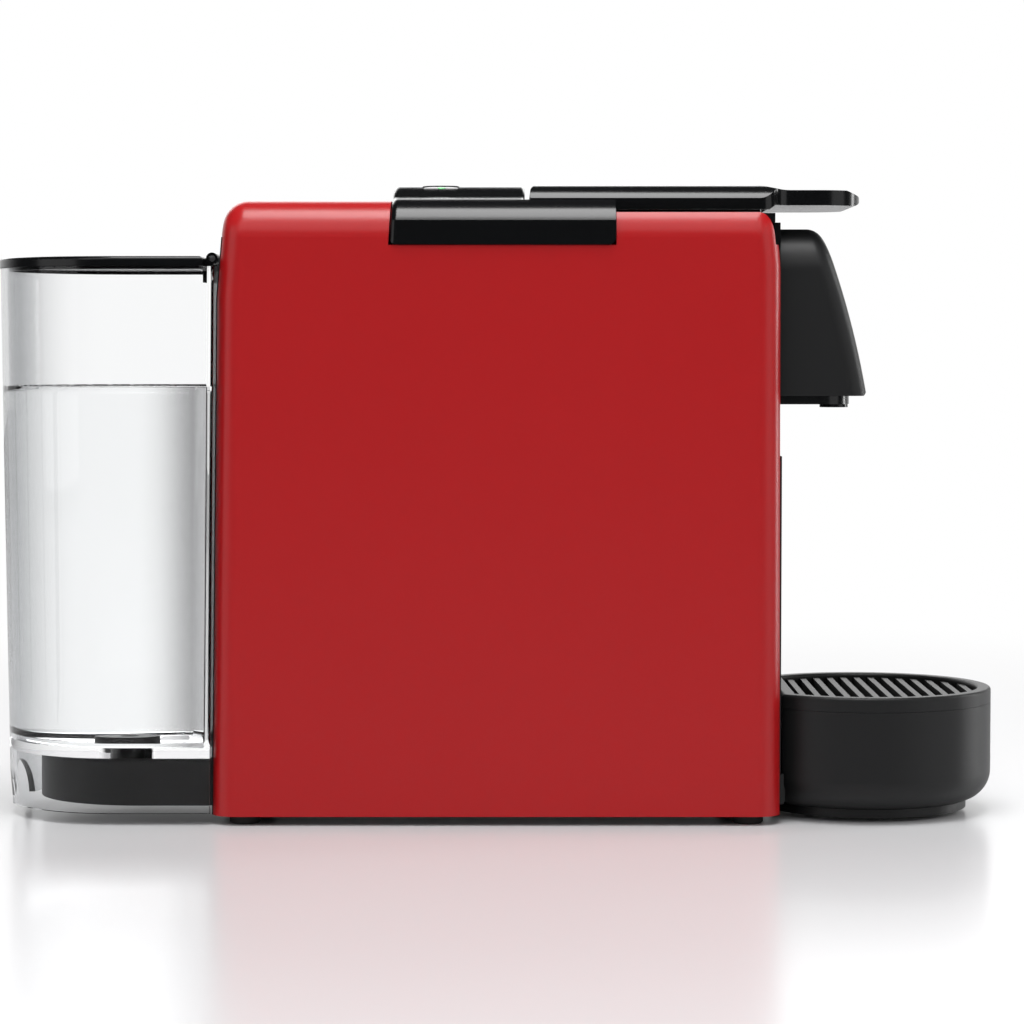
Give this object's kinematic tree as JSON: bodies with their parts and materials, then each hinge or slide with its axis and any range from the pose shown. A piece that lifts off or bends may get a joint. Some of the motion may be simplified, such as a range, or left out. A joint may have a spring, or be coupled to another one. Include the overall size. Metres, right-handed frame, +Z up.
{
  "type": "capsule espresso machine",
  "caption": "Slim capsule espresso machine: flat body, lift-off rear water tank with hinged lid, opening top lever, front spout over a round slide-out drip tray",
  "frame": {"origin": "centre of the footprint on the table, at the underside of the feet", "axes": "+X towards the spout and drip tray, +Y to the left side of the machine, +Z up"},
  "size_m": [0.329, 0.084, 0.2071],
  "materials": {
    "red_gloss": "glossy red moulded plastic",
    "black_gloss": "polished black moulded plastic",
    "black_satin": "fine satin black plastic",
    "clear_tank": "clear moulded plastic",
    "pale_plastic": "natural moulded plastic",
    "steel": "stamped steel",
    "brass_nickel": "drawn brass tube",
    "cast_aluminium": "die-cast, fine sand texture",
    "coil_wrap": "taped copper winding",
    "rubber": "soft black rubber",
    "silicone": "milky silicone",
    "seal": "silicone seal",
    "board": "solder-masked board",
    "button": "glossy black with a pale lens"
  },
  "bodies": {
    "housing": {"left_side_shell": "red_gloss", "right_side_shell": "red_gloss", "rear_panel": "black_satin", "base_plate": "black_satin", "feet": "rubber", "foot_screws": "steel", "cord_gland": "black_satin", "saddle_cover": "black_gloss", "button_board": "board", "lever_shaft": "steel", "left_frame_plate": "steel", "right_frame_plate": "steel", "frame_ties": "steel", "brew_head": "pale_plastic", "extraction_plate": "steel", "brew_shelf": "black_satin", "bulkhead": "black_satin", "front_frame": "black_gloss", "top_deck": "black_gloss", "spout_casing": "black_satin", "spout_underplate": "black_gloss", "coffee_nozzle": "black_gloss", "outlet_duct": "silicone", "tank_dock": "black_satin", "dock_seal": "seal", "pump_body": "brass_nickel", "pump_coil": "coil_wrap", "pump_yoke": "steel", "pump_mounts": "rubber", "pump_cradle": "black_satin", "flow_meter": "pale_plastic", "thermoblock": "cast_aluminium", "supply_hose": "silicone", "suction_hose": "silicone", "pressure_hose": "silicone", "brew_hose": "silicone", "control_board": "board", "plunger_spring": "steel"},
    "lever": {"lever": "black_gloss", "crank_pins": "steel"},
    "cage": {"capsule_cage": "pale_plastic", "cage_seal": "seal", "trunnion_pins": "steel", "piercing_blades": "steel"},
    "left_link": {"left_link": "steel"},
    "right_link": {"right_link": "steel"},
    "espresso_button": {"espresso_button": "button"},
    "lungo_button": {"lungo_button": "button"},
    "tank": {"water_tank": "clear_tank", "lid_pins": "steel", "valve_body": "black_satin", "valve_spring": "steel"},
    "tank_lid": {"tank_lid": "black_gloss"},
    "valve_poppet": {"valve_poppet": "pale_plastic"},
    "drip_unit": {"drip_tray": "black_satin", "capsule_bin": "black_satin", "bin_grate": "black_satin"},
    "drip_grid": {"drip_grid": "black_satin"},
    "pump_plunger": {"pump_plunger": "steel"},
    "flow_rotor": {"flow_rotor": "pale_plastic"}
  },
  "joints": [
    {"name": "lever_hinge", "type": "hinge", "parent": "housing", "child": "lever", "pos_m": [0.0202, 0, 0.1988], "axis": [0, -1, 0], "range_deg": [0, 90]},
    {"name": "cage_slide", "type": "slide", "parent": "housing", "child": "cage", "axis": [1, 0, 0], "range_m": [-0.03, 0], "deforming": ["brew_hose"]},
    {"name": "left_link_pivot", "type": "hinge", "parent": "cage", "child": "left_link", "pos_m": [0.056, 0.02245, 0.1623], "axis": [0, -1, 0], "range_deg": [-45, 0]},
    {"name": "right_link_pivot", "type": "hinge", "parent": "cage", "child": "right_link", "pos_m": [0.056, -0.02245, 0.1623], "axis": [0, -1, 0], "range_deg": [-45, 0]},
    {"name": "espresso_press", "type": "slide", "parent": "housing", "child": "espresso_button", "axis": [0, 0, -1], "range_m": [0, 0.0012], "stiffness_N_per_m": 900, "springref_m": -0.0003},
    {"name": "lungo_press", "type": "slide", "parent": "housing", "child": "lungo_button", "axis": [0, 0, -1], "range_m": [0, 0.0012], "stiffness_N_per_m": 900, "springref_m": -0.0003},
    {"name": "tank_lift", "type": "slide", "parent": "housing", "child": "tank", "axis": [0, 0, 1], "range_m": [0, 0.06]},
    {"name": "tank_lid_hinge", "type": "hinge", "parent": "tank", "child": "tank_lid", "pos_m": [-0.0915, 0, 0.1824], "axis": [0, 1, 0], "range_deg": [0, 85]},
    {"name": "valve_close", "type": "slide", "parent": "tank", "child": "valve_poppet", "axis": [0, 0, 1], "range_m": [-0.0022, 0], "deforming": ["valve_spring"]},
    {"name": "drip_unit_slide", "type": "slide", "parent": "housing", "child": "drip_unit", "axis": [1, 0, 0], "range_m": [0, 0.11]},
    {"name": "drip_grid_lift", "type": "slide", "parent": "drip_unit", "child": "drip_grid", "axis": [0, 0, 1], "range_m": [0, 0.05]},
    {"name": "plunger_stroke", "type": "slide", "parent": "housing", "child": "pump_plunger", "axis": [1, 0, 0], "range_m": [-0.003, 0.003], "stiffness_N_per_m": 600, "deforming": ["plunger_spring"]},
    {"name": "rotor_spin", "type": "hinge", "parent": "housing", "child": "flow_rotor", "pos_m": [-0.072, 0.028, 0.068], "axis": [0, 0, 1], "continuous": true}
  ],
  "couplings": [
    {"joint": "cage_slide", "follows": "lever_hinge", "m_per_rad": -0.019098},
    {"joint": "left_link_pivot", "follows": "lever_hinge", "ratio": -0.4989},
    {"joint": "right_link_pivot", "follows": "lever_hinge", "ratio": -0.4989},
    {"joint": "valve_close", "follows": "tank_lift", "ratio": -0.03665}
  ]
}
